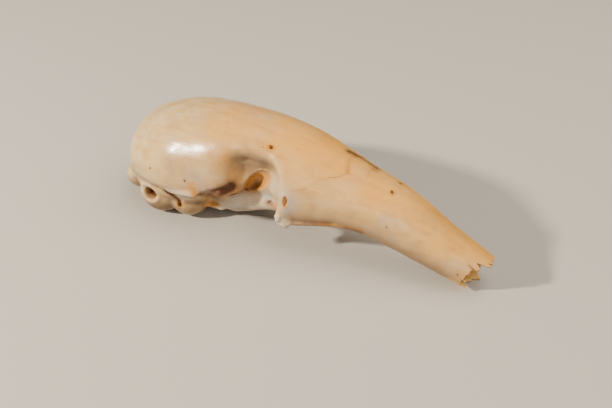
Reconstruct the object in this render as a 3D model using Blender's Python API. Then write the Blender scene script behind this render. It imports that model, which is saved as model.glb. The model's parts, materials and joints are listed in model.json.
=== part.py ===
"""Dry skull of a northern tamandua, one hollow cranium without its lower jaw.

+X points along the snout, +Y to the animal's left, +Z up. The skull lies as it rests on a table:
on the two ear bullae and on the lower edge of the broken snout. Sizes in the tables are millimetres,
measured from the rear of the occipital condyles, and MM turns them into metres.
"""

import math

import bmesh
import bpy
from mathutils import Matrix, Vector

MM = 0.001

# Driving dimensions of the cranium
SKULL_LENGTH = 127.4
BRAINCASE_HALF_WIDTH = 20.0

# Facets around and along the large shapes
AROUND_VAULT = 44
STEPS_VAULT = 3
AROUND_SMALL = 16

# Outer surface from the occiput to the snout. Each row is one cross-section:
# distance from the rear, top, height of the widest place, bottom, half width as a share of the
# braincase's, power of the upper half and power of the lower half of its rounded outline.
# A lower power under 2 leaves a ridge along the widest place, as under the temple.
VAULT = [
    (2.2, 16.5, 16.5, 16.5, 0.00, 2.0, 2.0),
    (3.2, 22.3, 15.5, 9.0, 0.44, 2.0, 2.0),
    (7.0, 27.8, 14.5, 5.5, 0.74, 2.0, 2.0),
    (14.0, 31.7, 14.0, 4.8, 0.92, 2.0, 1.8),
    (23.0, 34.2, 13.8, 5.0, 1.00, 2.1, 1.5),
    (33.0, 35.8, 14.8, 5.6, 0.98, 2.1, 1.35),
    (43.0, 36.6, 17.0, 6.6, 0.89, 2.1, 1.35),
    (53.0, 36.8, 19.5, 8.0, 0.78, 2.1, 1.7),
    (63.0, 35.8, 17.0, 9.4, 0.73, 2.1, 4.0),
    (74.0, 33.0, 16.6, 10.2, 0.62, 2.2, 4.2),
    (86.0, 28.6, 17.0, 9.6, 0.515, 2.2, 2.8),
    (98.0, 24.9, 14.4, 6.2, 0.44, 2.2, 2.4),
    (110.0, 18.8, 10.0, 3.0, 0.37, 2.2, 2.4),
    (120.0, 13.4, 6.2, 0.45, 0.33, 2.2, 2.4),
    (131.0, 8.0, 2.4, -3.4, 0.30, 2.2, 2.4),
]

# Floor of the skull: basioccipital, pterygoids and palate, under the vault
PALATE = [
    (3.4, 10.0, 7.5, 4.6, 0.26, 2.6, 2.6),
    (8.0, 12.0, 8.0, 3.6, 0.33, 3.0, 3.0),
    (16.0, 12.0, 8.0, 3.4, 0.34, 3.0, 3.0),
    (26.0, 12.0, 8.0, 3.2, 0.38, 3.0, 3.0),
    (34.0, 12.0, 8.0, 2.4, 0.46, 3.6, 3.6),
    (41.0, 14.0, 8.0, 1.8, 0.40, 3.6, 3.6),
    (47.0, 15.0, 9.0, 4.0, 0.38, 3.6, 3.6),
    (54.0, 16.0, 11.0, 6.8, 0.40, 3.6, 3.6),
    (61.0, 18.0, 13.0, 8.6, 0.47, 3.6, 3.6),
    (70.0, 20.0, 14.0, 9.6, 0.50, 3.6, 3.6),
]

# Room for the brain
BRAIN = [
    (5.2, 17.0, 17.0, 17.0, 0.00, 2.0, 2.0),
    (6.2, 22.5, 16.0, 10.6, 0.40, 2.0, 2.0),
    (10.5, 27.8, 16.0, 8.2, 0.72, 2.0, 2.0),
    (17.0, 31.3, 16.5, 7.4, 0.87, 2.0, 2.0),
    (26.0, 33.5, 17.0, 7.8, 0.93, 2.0, 2.0),
    (35.0, 34.6, 18.5, 9.2, 0.89, 2.0, 2.0),
    (44.0, 34.8, 20.5, 12.4, 0.74, 2.0, 2.0),
    (51.0, 33.4, 22.0, 15.5, 0.52, 2.0, 2.0),
    (56.5, 30.0, 23.5, 18.5, 0.26, 2.0, 2.0),
    (58.0, 24.0, 24.0, 24.0, 0.00, 2.0, 2.0),
]

# Airway, open at the broken end. Behind it thin scroll bones fill the nose, which is solid here.
NOSE = [
    (104.0, 13.6, 13.6, 13.6, 0.00, 2.0, 2.0),
    (105.4, 17.4, 12.4, 7.6, 0.24, 2.0, 2.0),
    (110.0, 17.4, 10.2, 4.3, 0.32, 2.2, 2.4),
    (120.0, 12.3, 6.4, 1.4, 0.275, 2.2, 2.4),
    (134.0, 5.9, 1.6, -3.3, 0.245, 2.2, 2.4),
]

# Where the snout is broken off, round its edge: angle from the top towards the animal's left, and
# distance from the rear of the skull
BREAK = [
    (0, 127.4),
    (12, 126.4),
    (24, 126.6),
    (34, 122.0),
    (48, 121.4),
    (60, 124.6),
    (72, 124.0),
    (84, 125.2),
    (98, 122.6),
    (112, 123.4),
    (126, 121.2),
    (140, 122.2),
    (154, 120.6),
    (168, 121.4),
    (180, 119.6),
    (192, 121.2),
    (204, 119.6),
    (220, 119.8),
    (238, 120.8),
    (256, 120.6),
    (272, 122.0),
    (290, 122.6),
    (306, 124.4),
    (322, 124.2),
    (336, 126.2),
    (348, 126.4),
]
BREAK_AXIS_Z = 6.4


def place(x, y, z):
    """A point given in the tables' millimetres, in metres and centred along the skull."""
    return Vector(((x - SKULL_LENGTH / 2) * MM, y * MM, z * MM))


def between(rows, steps):
    """Rows of a table with smooth ones filled in between, on a curve through every row.

    A row of zero width is a closed end, where the curve turns back on itself.
    """
    first, last = rows[0], rows[-1]
    before = mirrored(rows[1]) if first[4] == 0 else first
    after = mirrored(rows[-2]) if last[4] == 0 else last
    padded = [before, *rows, after]
    filled = []
    for p0, p1, p2, p3 in zip(padded, padded[1:], padded[2:], padded[3:]):
        for step in range(steps):
            t = step / steps
            filled.append(tuple(smooth(*four, t) for four in zip(p0, p1, p2, p3)))
    return [*filled, last]


def mirrored(row):
    x, top, widest, bottom, width, upper, lower = row
    return (x, bottom, widest, top, -width, lower, upper)


def smooth(a, b, c, d, t):
    """Catmull-Rom curve through b and c."""
    return b + 0.5 * t * (c - a + t * (2 * a - 5 * b + 4 * c - d + t * (3 * (b - c) + d - a)))


def ease(low, high, value):
    t = min(1.0, max(0.0, (value - low) / (high - low)))
    return t * t * (3 - 2 * t)


def rounded(value, power):
    return math.copysign(abs(value) ** (2 / power), value)


def hollow_face(x, y, z):
    """Pulls the side of the head in where the orbit and the temple are hollow."""
    along = ease(42.0, 53.0, x) * (1 - ease(57.0, 65.0, x))
    up = 1 - ease(20.0, 31.5, z)
    return x, y * (1 - 0.38 * along * up), z


def cross_section(row, count, hollowed):
    x, top, widest, bottom, width, upper, lower = row
    half = width * BRAINCASE_HALF_WIDTH
    points = []
    for k in range(count):
        turn = 2 * math.pi * k / count
        rise, side = math.cos(turn), math.sin(turn)
        power = upper if rise >= 0 else lower
        height = top - widest if rise >= 0 else widest - bottom
        z = widest + height * rounded(rise, power)
        point = (x, half * rounded(side, power), z)
        points.append(hollow_face(*point) if hollowed else point)
    return points


def new_object(name, bm):
    bmesh.ops.recalc_face_normals(bm, faces=bm.faces)
    mesh = bpy.data.meshes.new(name)
    bm.to_mesh(mesh)
    bm.free()
    mesh.shade_smooth()
    obj = bpy.data.objects.new(name, mesh)
    bpy.context.scene.collection.objects.link(obj)
    return obj


def lofted(name, rows, steps, count, hollowed=True):
    """A closed body skinned over the cross-sections of a table."""
    bm = bmesh.new()
    rings = []
    for row in between(rows, steps):
        if row[4] == 0:
            rings.append([bm.verts.new(place(row[0], 0, row[2]))])
        else:
            rings.append([bm.verts.new(place(*point)) for point in cross_section(row, count, hollowed)])
    for one, two in zip(rings, rings[1:]):
        skin(bm, one, two)
    for end in (rings[0], rings[-1]):
        if len(end) > 1:
            bm.faces.new(end)
    return new_object(name, bm)


def skin(bm, one, two):
    """Faces between two rings, either of which may be a single point."""
    count = max(len(one), len(two))
    for k in range(count):
        after = (k + 1) % count
        corners = [one[k % len(one)], one[after % len(one)], two[after % len(two)], two[k % len(two)]]
        bm.faces.new(list(dict.fromkeys(corners)))


def ellipsoid(name, centre, radii, turn=0.0, tilt=0.0, count=AROUND_SMALL):
    """A ball stretched to three radii, turned about +Z and then tilted about +Y, in degrees."""
    bm = bmesh.new()
    bmesh.ops.create_uvsphere(bm, u_segments=count, v_segments=count * 5 // 8, radius=1)
    spin = Matrix.Rotation(math.radians(turn), 4, "Z") @ Matrix.Rotation(math.radians(tilt), 4, "Y")
    stretch = Matrix.Diagonal((*[radius * MM for radius in radii], 1))
    bm.transform(Matrix.Translation(place(*centre)) @ spin @ stretch)
    return new_object(name, bm)


def chunk(name, points):
    """The solid that wraps round a few points, like a broken stub of bone."""
    bm = bmesh.new()
    for point in points:
        bm.verts.new(place(*point))
    bmesh.ops.convex_hull(bm, input=bm.verts)
    return new_object(name, bm)


def rod(name, path, radii, count=8):
    """A ridge or a channel: a round bar along a path, with a radius at each of its points."""
    bm = bmesh.new()
    rings = []
    for k, point in enumerate(path):
        ahead = Vector(path[min(k + 1, len(path) - 1)]) - Vector(path[max(k - 1, 0)])
        frame = ahead.to_track_quat("Z", "Y")
        ring = []
        for n in range(count):
            turn = 2 * math.pi * n / count
            offset = frame @ Vector((math.cos(turn), math.sin(turn), 0)) * radii[k]
            ring.append(bm.verts.new(place(*(Vector(point) + offset))))
        rings.append(ring)
    for one, two in zip(rings, rings[1:]):
        skin(bm, one, two)
    bm.faces.new(rings[0])
    bm.faces.new(rings[-1])
    return new_object(name, bm)


def broken_end(name):
    """All that lies past the jagged edge of the snout, as a toothed plug."""
    bm = bmesh.new()
    far = SKULL_LENGTH + 12
    inner_ring, outer_ring, far_ring = [], [], []
    for angle, x in BREAK:
        turn = math.radians(angle)
        side, rise = math.sin(turn), math.cos(turn)
        inner_ring.append(bm.verts.new(place(x, 1.5 * side, BREAK_AXIS_Z + 1.5 * rise)))
        outer_ring.append(bm.verts.new(place(x, 16 * side, BREAK_AXIS_Z + 16 * rise)))
        far_ring.append(bm.verts.new(place(far, 16 * side, BREAK_AXIS_Z + 16 * rise)))
    tip = [bm.verts.new(place(120.0, 0, BREAK_AXIS_Z))]
    skin(bm, tip, inner_ring)
    skin(bm, inner_ring, outer_ring)
    skin(bm, outer_ring, far_ring)
    bm.faces.new(far_ring)
    return new_object(name, bm)


def both_sides(make, name, *rest):
    """The same shape right and left; make(name, side, ...) with side -1 on the right."""
    return [make(f"{name}_right", -1, *rest), make(f"{name}_left", 1, *rest)]


def sided_ball(name, side, centre, radii, turn=0.0, tilt=0.0):
    x, y, z = centre
    return ellipsoid(name, (x, side * y, z), radii, side * turn, tilt)


def sided_rod(name, side, path, radii):
    return rod(name, [(x, side * y, z) for x, y, z in path], radii)


def sided_chunk(name, side, points):
    return chunk(name, [(x, side * y, z) for x, y, z in points])


def growths():
    """Everything that stands out from the vault."""
    shapes = [lofted("palate", PALATE, 2, 24, hollowed=False)]
    shapes += both_sides(sided_ball, "ear_base", (20.0, 13.2, 10.6), (11.5, 5.6, 5.2))
    shapes += both_sides(sided_ball, "ear_bulla_rear", (18.0, 13.3, 6.9), (7.6, 6.0, 6.9))
    shapes += both_sides(sided_ball, "ear_bulla_front", (27.2, 11.0, 6.4), (6.8, 6.1, 6.4))
    shapes += both_sides(sided_ball, "condyle", (4.5, 7.6, 5.9), (4.7, 3.5, 4.8), -25.0)
    shapes += both_sides(
        sided_rod,
        "temple_ridge",
        [(22.0, 17.0, 11.8), (29.0, 18.6, 13.0), (35.0, 18.9, 13.7), (37.4, 18.4, 13.9)],
        [0.8, 1.3, 1.3, 0.2],
    )
    shapes += both_sides(
        sided_rod,
        "cheek_flange",
        [(64.0, 13.2, 10.8), (70.0, 12.0, 11.2), (76.0, 10.9, 12.2), (84.0, 8.7, 13.0)],
        [1.6, 1.2, 1.0, 0.4],
    )
    shapes += both_sides(
        sided_chunk,
        "cheek_root",
        [
            (61.9, 14.6, 12.6),
            (62.6, 15.4, 10.6),
            (64.2, 14.6, 8.5),
            (66.8, 14.0, 9.3),
            (67.6, 12.0, 15.0),
            (63.4, 13.6, 16.5),
            (62.4, 9.0, 12.0),
            (66.0, 9.0, 11.0),
        ],
    )
    return shapes


def hollows():
    """Everything that is cut away."""
    shapes = [
        lofted("brain_room", BRAIN, 2, 28),
        lofted("airway", NOSE, 2, 24),
        ellipsoid("foramen_magnum", (4.0, 0, 12.2), (9.5, 7.0, 6.1), 0.0, 4.0, 20),
        rod("choana", [(30.0, 0, 3.4), (36.0, 0, 4.2), (46.0, 0, 5.6), (52.0, 0, 8.6)], [2.6, 4.0, 4.0, 2.4], 12),
        broken_end("snout_break"),
    ]
    shapes += both_sides(sided_ball, "ear_canal", (17.2, 20.0, 8.4), (2.4, 8.0, 1.8), 12.0)
    shapes += both_sides(sided_ball, "orbit_gap", (52.4, 10.0, 18.0), (5.0, 7.0, 3.2), 14.0, -30.0)
    shapes += both_sides(
        sided_rod, "tear_duct", [(64.6, 15.6, 19.6), (66.6, 11.6, 18.6)], [1.1, 0.9]
    )
    return shapes


def boolean(obj, operation, shapes):
    """Joins or cuts with a set of helper shapes, which stay out of the render."""
    helpers = bpy.data.collections.new(f"{obj.name}_{operation.lower()}")
    bpy.context.scene.collection.children.link(helpers)
    for shape in shapes:
        bpy.context.scene.collection.objects.unlink(shape)
        helpers.objects.link(shape)
        shape.hide_render = True
        shape.display_type = "WIRE"
    modifier = obj.modifiers.new(operation.lower(), "BOOLEAN")
    modifier.operation = operation
    modifier.solver = "EXACT"
    modifier.operand_type = "COLLECTION"
    modifier.collection = helpers


def dry_bone():
    """Cleaned bone: warm cream, a little glossy."""
    material = bpy.data.materials.new("dry_bone")
    material.use_nodes = True
    shader = material.node_tree.nodes["Principled BSDF"]
    shader.inputs["Base Color"].default_value = (0.72, 0.55, 0.36, 1)
    shader.inputs["Roughness"].default_value = 0.45
    shader.inputs["Metallic"].default_value = 0.0
    return material


def main():
    for obj in list(bpy.data.objects):
        bpy.data.objects.remove(obj)
    cranium = lofted("cranium", VAULT, STEPS_VAULT, AROUND_VAULT)
    cranium.data.materials.append(dry_bone())
    boolean(cranium, "UNION", growths())
    boolean(cranium, "DIFFERENCE", hollows())


main()
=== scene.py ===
# Dry skull of a northern tamandua on a pale table: one hollow cranium, finished as aged bone.
#
# Shapes are worked out in skull millimetres: x from the rear of the condyles along the snout,
# y to the animal's left, z up from the table. world() turns them into metres in the frame of
# the CAD model. The outer form is a set of closed skins fused by a voxel remesh, and fused again
# once the pits and large openings are cut. Low relief is then pushed along the normals, and the
# rooms, foramina and the broken edge are cut last.
import json
import math
import time
from functools import partial

import bmesh
import bpy
import numpy as np
from mathutils import Matrix

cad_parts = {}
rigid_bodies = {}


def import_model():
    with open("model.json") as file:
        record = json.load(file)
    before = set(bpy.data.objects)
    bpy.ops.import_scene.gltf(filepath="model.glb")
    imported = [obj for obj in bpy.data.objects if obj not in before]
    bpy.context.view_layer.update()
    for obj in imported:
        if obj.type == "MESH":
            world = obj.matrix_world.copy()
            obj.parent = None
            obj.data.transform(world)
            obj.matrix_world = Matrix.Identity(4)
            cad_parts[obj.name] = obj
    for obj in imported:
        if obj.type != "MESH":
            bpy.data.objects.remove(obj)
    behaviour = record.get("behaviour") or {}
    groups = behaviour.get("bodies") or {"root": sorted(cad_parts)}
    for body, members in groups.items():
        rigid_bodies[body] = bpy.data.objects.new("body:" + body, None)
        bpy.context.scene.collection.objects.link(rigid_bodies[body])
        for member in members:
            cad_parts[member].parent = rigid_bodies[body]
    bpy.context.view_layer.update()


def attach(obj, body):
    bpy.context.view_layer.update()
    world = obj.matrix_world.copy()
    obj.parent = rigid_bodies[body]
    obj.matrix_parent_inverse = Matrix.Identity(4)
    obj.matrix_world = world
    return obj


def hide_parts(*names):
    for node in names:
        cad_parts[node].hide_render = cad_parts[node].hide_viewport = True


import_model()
begun = time.time()

skullLength = 127.4
halfWidth = 20.0

# What one would change about the cranium's outer form. Each row is a cross-section: x, top,
# height of the widest place, bottom, half width as a share of halfWidth, and the powers of the
# upper and lower half of its rounded outline.
cranium = {
    "firstVoxel": 0.6075,  # step of the first fusing, in millimetres, and of the second
    "voxel": 0.45,
    "widest": 20.15,  # the relief goes no further out or up than this
    "highest": 36.8,
    "sharpAngle": 48,  # degrees between faces, above which an edge is shaded sharp
    "vaultGrid": (240, 160),  # rings and points round each
    "palateGrid": (120, 64),
    "roomGrid": (70, 48),
    "airwayGrid": (60, 48),
    "foramenGrid": (10, 12),
    "smoothing": 6,  # rounds of relaxing over all the skin
    "wearing": 14,  # and where forms are worn into each other
    "vault": [
        (2.2, 16.5, 16.5, 16.5, 0.00, 2.0, 2.0),
        (3.2, 22.3, 15.5, 9.0, 0.44, 2.0, 2.0),
        (7.0, 27.8, 14.5, 5.5, 0.74, 2.0, 2.0),
        (14.0, 31.7, 14.0, 4.8, 0.92, 2.0, 1.8),
        (23.0, 34.2, 13.8, 5.0, 1.00, 2.1, 1.5),
        (33.0, 35.8, 14.8, 5.6, 0.98, 2.1, 1.35),
        (43.0, 36.5, 17.0, 6.6, 0.89, 2.1, 1.35),
        (53.0, 36.65, 19.5, 8.0, 0.78, 2.1, 1.7),
        (63.0, 35.8, 17.0, 9.4, 0.73, 2.1, 4.0),
        (74.0, 33.0, 16.6, 10.2, 0.62, 2.2, 4.2),
        (86.0, 28.6, 17.0, 9.6, 0.515, 2.2, 2.8),
        (98.0, 24.9, 14.4, 6.2, 0.44, 2.2, 2.4),
        (110.0, 18.8, 10.0, 3.0, 0.37, 2.2, 2.4),
        (120.0, 13.4, 6.2, 0.45, 0.33, 2.2, 2.4),
        (131.0, 8.0, 2.4, -3.4, 0.30, 2.2, 2.4),
    ],
    "palate": [
        (3.4, 10.0, 7.5, 4.6, 0.26, 2.6, 2.6),
        (8.0, 12.0, 8.0, 3.6, 0.33, 3.0, 3.0),
        (16.0, 12.0, 8.0, 3.4, 0.34, 3.0, 3.0),
        (26.0, 12.0, 8.0, 3.2, 0.38, 3.0, 3.0),
        (35.0, 12.0, 8.0, 3.0, 0.43, 3.6, 3.6),
        (38.5, 13.0, 8.0, 1.9, 0.42, 3.6, 3.6),
        (42.0, 14.0, 8.0, 1.5, 0.40, 3.6, 3.6),
        (47.0, 15.0, 9.0, 3.4, 0.38, 3.6, 3.6),
        (54.0, 16.0, 11.0, 6.8, 0.40, 3.6, 3.6),
        (61.0, 18.0, 13.0, 8.6, 0.47, 3.6, 3.6),
        (70.0, 20.0, 14.0, 9.6, 0.50, 3.6, 3.6),
    ],
    # centre, radii, turn about z and tilt about y in degrees; each is made on both sides
    "balls": [
        ((20.0, 13.2, 10.6), (11.5, 5.6, 5.2), 0, 0),
        ((18.0, 13.3, 6.9), (7.6, 6.0, 6.9), 0, 0),
        ((27.2, 11.0, 6.4), (6.8, 6.1, 6.4), 0, 0),
        ((4.5, 7.6, 5.9), (4.7, 3.7, 4.8), -25, 0),
        ((8.2, 7.0, 8.2), (6.0, 5.4, 4.8), 0, 0),
    ],
    "temple": [
        (20.0, 17.0, 11.2, 0.5), (26.0, 18.5, 12.4, 1.1), (31.0, 19.0, 13.3, 1.2),
        (35.0, 19.1, 13.8, 1.1), (38.4, 19.3, 14.2, 0.4),
    ],
    "ledge": [(32.4, 10.6, 5.2, 0.9), (34.8, 9.4, 4.5, 1.0), (38.8, 8.0, 3.4, 0.9)],
    # pits and grooves on both sides, each a bar of (x, y, z, radius) that is cut away
    "pits": [
        [
            (48.2, 10.9, 14.2, 0.7), (50.4, 10.9, 16.4, 1.8), (52.8, 10.9, 18.9, 2.6),
            (55.0, 10.8, 20.9, 2.3), (56.6, 10.8, 22.1, 1.1),
        ],
        [
            (48.8, 9.6, 14.6, 0.8), (50.4, 9.3, 16.2, 1.7), (52.4, 9.1, 18.5, 2.3),
            (54.2, 9.1, 20.2, 1.7),
        ],
        [
            (37.0, 19.3, 13.3, 0.8), (38.5, 19.1, 14.0, 1.5), (41.0, 18.8, 15.5, 1.6),
            (43.6, 17.7, 16.8, 1.3), (46.4, 15.5, 17.9, 0.8),
        ],
        [
            (37.0, 11.4, 8.2, 1.2), (39.0, 11.6, 9.8, 1.6), (42.0, 11.9, 11.7, 1.7),
            (45.0, 11.2, 13.2, 1.5), (47.8, 10.2, 14.2, 1.0),
        ],
        [(54.2, 10.0, 11.2, 0.7), (56.4, 9.6, 12.0, 1.2), (58.6, 10.8, 12.9, 1.0)],
    ],
    # openings: stretched balls as above, and the bar that opens the rear of the palate
    "foramenMagnum": ((4.0, 0, 12.2), (9.5, 7.0, 6.1), 0, 4),
    "palateOpening": [(30, 0, 3.4, 2.6), (36, 0, 4.2, 4.0), (46, 0, 5.6, 4.0), (52, 0, 8.6, 2.4)],
    "earOpening": ((17.2, 20.0, 8.4), (2.7, 8.0, 2.15), 12, 0),
    # how far the orbit draws the side in, and where it begins and ends along x and up z
    "orbit": {"share": 0.38, "rear": (42, 53), "front": (57, 65), "roof": (20, 31.5)},
    # where neighbouring forms are worn into each other: the condyles, then lines with width and share
    "condyleBlend": {"centre": (5.5, 7.8, 8.6), "flat": (1, 1, 0.8), "reach": 7.0},
    "blends": [
        ([(22, 17.5, 12.6), (36, 17.8, 12.8)], 1.8, 0.5),
        ([(66, 12.4, 13.6), (72, 12.2, 12.8), (88, 9.0, 13.5)], 3.2, 1.0),
        ([(34, 8.4, 7.5), (44, 8.6, 10.5), (54, 8.5, 13)], 2.2, 1.0),
    ],
    "flange": [
        (63.0, 13.0, 10.6, 1.7), (70.0, 11.6, 10.9, 1.1), (76.0, 10.5, 11.8, 0.9),
        (84.0, 8.5, 12.4, 0.4),
    ],
    "cheekRoot": [
        (61.9, 14.6, 12.6), (62.6, 15.4, 10.6), (64.2, 14.6, 8.5), (66.8, 14.0, 9.3),
        (67.6, 12.0, 15.0), (63.4, 13.6, 16.5), (62.4, 9.0, 12.0), (66.0, 9.0, 11.0),
    ],
}

# Rooms inside, as cross-sections again
rooms = {
    "brain": [
        (5.2, 17.0, 17.0, 17.0, 0.00, 2.0, 2.0),
        (6.2, 22.5, 16.0, 10.6, 0.40, 2.0, 2.0),
        (10.5, 27.8, 16.0, 8.2, 0.72, 2.0, 2.0),
        (17.0, 31.3, 16.5, 7.4, 0.87, 2.0, 2.0),
        (26.0, 33.5, 17.0, 7.8, 0.93, 2.0, 2.0),
        (35.0, 34.6, 18.5, 9.2, 0.89, 2.0, 2.0),
        (44.0, 34.8, 20.5, 12.4, 0.66, 2.0, 2.0),
        (51.0, 33.4, 23.0, 17.5, 0.38, 2.0, 2.0),
        (56.5, 30.0, 24.5, 20.5, 0.16, 2.0, 2.0),
        (58.0, 24.0, 24.0, 24.0, 0.00, 2.0, 2.0),
    ],
    "airway": [
        (84.0, 18.0, 18.0, 18.0, 0.00, 2.0, 2.0),
        (86.0, 24.6, 17.4, 12.2, 0.34, 2.2, 2.4),
        (98.0, 22.4, 14.4, 8.2, 0.37, 2.2, 2.4),
        (110.0, 17.5, 10.2, 4.3, 0.33, 2.2, 2.4),
        (120.0, 12.3, 6.4, 1.4, 0.285, 2.2, 2.4),
        (134.0, 6.4, 1.6, -3.6, 0.255, 2.2, 2.4),
    ],
}


def clock():
    return f"{time.time() - begun:.0f} s"


# Skull millimetres to metres in the frame, whose origin is halfway along the skull
def world(points):
    return (np.asarray(points, float) - (skullLength / 2, 0, 0)) * 0.001


# And back again
def skullOf(points):
    return np.asarray(points, float) * 1000 + (skullLength / 2, 0, 0)


# Smooth step from 0 at low to 1 at high, 3t^2 - 2t^3; low may be the larger
def ease(low, high, value):
    t = np.clip((value - low) / (high - low), 0, 1)
    return t * t * (3 - 2 * t)


# Bell of height 1 that has fallen to 1/e at width
def bell(value, width):
    return np.exp(-(value / width) ** 2)


# Smooth wandering between about -1 and 1: twice the mean of nine sines along scattered
# directions, with wavelengths near size
def wander(points, size, seed):
    rng = np.random.default_rng(seed)
    heading = rng.normal(size=(9, 3))
    heading *= (2 * np.pi / size * rng.uniform(0.7, 1.5, 9) / np.linalg.norm(heading, axis=1))[:, None]
    return np.sin(points @ heading.T + rng.uniform(0, 2 * np.pi, 9)).mean(1) * 2


# Catmull-Rom curve: between rows b and c at share f it is the cubic that leaves b along c - a and
# reaches c along d - b. Rows have one more before the first and after the last.
def curveAt(padded, t):
    k = np.minimum(t.astype(int), len(padded) - 4)
    f = (t - k)[:, None]
    a, b, c, d = padded[k], padded[k + 1], padded[k + 2], padded[k + 3]
    return b + 0.5 * f * (c - a + f * (2 * a - 5 * b + 4 * c - d + f * (3 * (b - c) + d - a)))


# Curve through every row of a table, at even steps of length in (x, top). A row of zero width is
# a closed end, past which the curve goes on as its own mirror image.
def curveThrough(rows, count):
    rows = np.array(rows, float)

    def ghost(end, near):
        if end[4] > 0:
            return end
        turned = near[[0, 3, 2, 1, 4, 6, 5]]
        turned[4] = -turned[4]
        return turned

    padded = np.vstack([ghost(rows[0], rows[1]), rows, ghost(rows[-1], rows[-2])])
    fine = curveAt(padded, np.linspace(0, len(rows) - 1, count * 8))
    way = np.concatenate([[0], np.cumsum(np.hypot(np.diff(fine[:, 0]), np.diff(fine[:, 1])))])
    even = np.linspace(0, way[-1], count)
    return np.array([np.interp(even, way, column) for column in fine.T]).T


# Skin over the cross-sections: at angle u from the top, z = widest + height * cos(u)^(2/power)
# and y = half width * sin(u)^(2/power), keeping signs. hollowed draws the side in at the orbit.
def skinOver(rows, along, around, hollowed=True):
    rows = curveThrough(rows, along)
    rows = rows[rows[:, 4] > 0.004]  # the closed ends themselves have no ring
    x, top, widest, bottom, width, upper, lower = [column[:, None] for column in rows.T]
    turn = np.arange(around) * 2 * np.pi / around
    rise, side = np.cos(turn), np.sin(turn)
    power = np.where(rise >= 0, upper, lower)
    height = np.where(rise >= 0, top - widest, widest - bottom)
    z = widest + height * np.sign(rise) * np.abs(rise) ** (2 / power)
    y = width * halfWidth * np.sign(side) * np.abs(side) ** (2 / power)
    x = x + 0 * z
    if hollowed:
        orbit = cranium["orbit"]
        inside = ease(*orbit["rear"], x) * (1 - ease(*orbit["front"], x)) * (1 - ease(*orbit["roof"], z))
        y = y * (1 - orbit["share"] * inside)
    return closedTube(np.stack([x, y, z], -1))


# A grid of rings, closed round each ring and over both ends
def closedTube(grid):
    rings, around, _ = grid.shape
    k = np.arange(around)
    after = (k + 1) % around
    first = (np.arange(rings - 1) * around)[:, None]
    quads = np.stack([first + k, first + after, first + around + after, first + around + k], -1)
    points = np.vstack([grid.reshape(-1, 3), grid[0].mean(0), grid[-1].mean(0)])
    start, end, last = rings * around, rings * around + 1, (rings - 1) * around
    caps = np.vstack([
        np.stack([after, k, np.full(around, start)], -1),
        np.stack([last + k, last + after, np.full(around, end)], -1),
    ])
    return points, quads.reshape(-1, 4), caps


# Ball stretched to three radii: centre + turned (rx sin v cos u, ry sin v sin u, rz cos v)
def ball(centre, radii, turn=0.0, tilt=0.0, rings=48, around=72):
    v = (np.arange(rings) + 0.5) * np.pi / rings
    u = np.arange(around) * 2 * np.pi / around
    unit = np.stack([
        np.sin(v)[:, None] * np.cos(u), np.sin(v)[:, None] * np.sin(u), np.cos(v)[:, None] + 0 * u,
    ], -1)
    turned = Matrix.Rotation(math.radians(turn), 3, "Z") @ Matrix.Rotation(math.radians(tilt), 3, "Y")
    return closedTube((unit * radii) @ np.array(turned).T + centre)


# Round bar along a path of (x, y, z, radius): rings square to the path, every step on a smooth
# curve through its points
def bar(path, along=40, around=16):
    path = np.array(path, float)
    padded = np.vstack([2 * path[0] - path[1], path, 2 * path[-1] - path[-2]])
    fine = curveAt(padded, np.linspace(0, len(path) - 1, along))
    ahead = np.gradient(fine[:, :3], axis=0)
    ahead /= np.linalg.norm(ahead, axis=1, keepdims=True)
    side = np.cross(ahead, (0.0, 0.31, 0.95))  # a way that no path takes, so rings never flip
    side /= np.linalg.norm(side, axis=1, keepdims=True)
    rise = np.cross(side, ahead)
    u = np.arange(around) * 2 * np.pi / around
    ring = np.cos(u)[None, :, None] * side[:, None] + np.sin(u)[None, :, None] * rise[:, None]
    return closedTube(fine[:, None, :3] + np.abs(fine[:, 3])[:, None, None] * ring)


# The solid that wraps round a few points
def wrapped(points):
    bm = bmesh.new()
    for point in points:
        bm.verts.new(point)
    bmesh.ops.convex_hull(bm, input=bm.verts)
    bmesh.ops.triangulate(bm, faces=bm.faces)
    bm.verts.index_update()
    shape = (
        np.array([vertex.co for vertex in bm.verts]),
        np.zeros((0, 4), int),
        np.array([[vertex.index for vertex in face.verts] for face in bm.faces]),
    )
    bm.free()
    return shape


# The shape mirrored to the animal's right, with its faces turned back outwards
def otherSide(shape):
    points, quads, caps = shape
    return points * (1, -1, 1), quads[:, ::-1], caps[:, ::-1]


def bothSides(shape):
    return [shape, otherSide(shape)]


# Six times the volume inside, positive where the faces look out
def insideOf(points, quads, caps):
    faces = np.vstack([quads[:, :3], quads[:, [0, 2, 3]], caps])
    return np.linalg.det(points[faces]).sum()


# One mesh of many closed shapes, all facing out
def meshOf(name, shapes):
    points, quads, caps, base = [], [], [], 0
    for shape in shapes:
        if insideOf(*shape) < 0:
            shape = (shape[0], shape[1][:, ::-1], shape[2][:, ::-1])
        points.append(shape[0])
        quads.append(shape[1] + base)
        caps.append(shape[2] + base)
        base += len(shape[0])
    points, quads, caps = world(np.vstack(points)), np.vstack(quads), np.vstack(caps)
    mesh = bpy.data.meshes.new(name)
    mesh.vertices.add(len(points))
    mesh.vertices.foreach_set("co", points.ravel())
    mesh.loops.add(quads.size + caps.size)
    mesh.loops.foreach_set("vertex_index", np.concatenate([quads.ravel(), caps.ravel()]))
    mesh.polygons.add(len(quads) + len(caps))
    starts = np.concatenate([np.arange(len(quads)) * 4, quads.size + np.arange(len(caps)) * 3])
    mesh.polygons.foreach_set("loop_start", starts)
    mesh.update(calc_edges=True)
    mesh.validate()
    obj = bpy.data.objects.new(name, mesh)
    bpy.context.scene.collection.objects.link(obj)
    return obj


# The object's mesh with its modifiers worked in
def settle(obj):
    graph = bpy.context.evaluated_depsgraph_get()
    mesh = bpy.data.meshes.new_from_object(obj.evaluated_get(graph))
    obj.modifiers.clear()
    obj.data = mesh
    return obj


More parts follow.
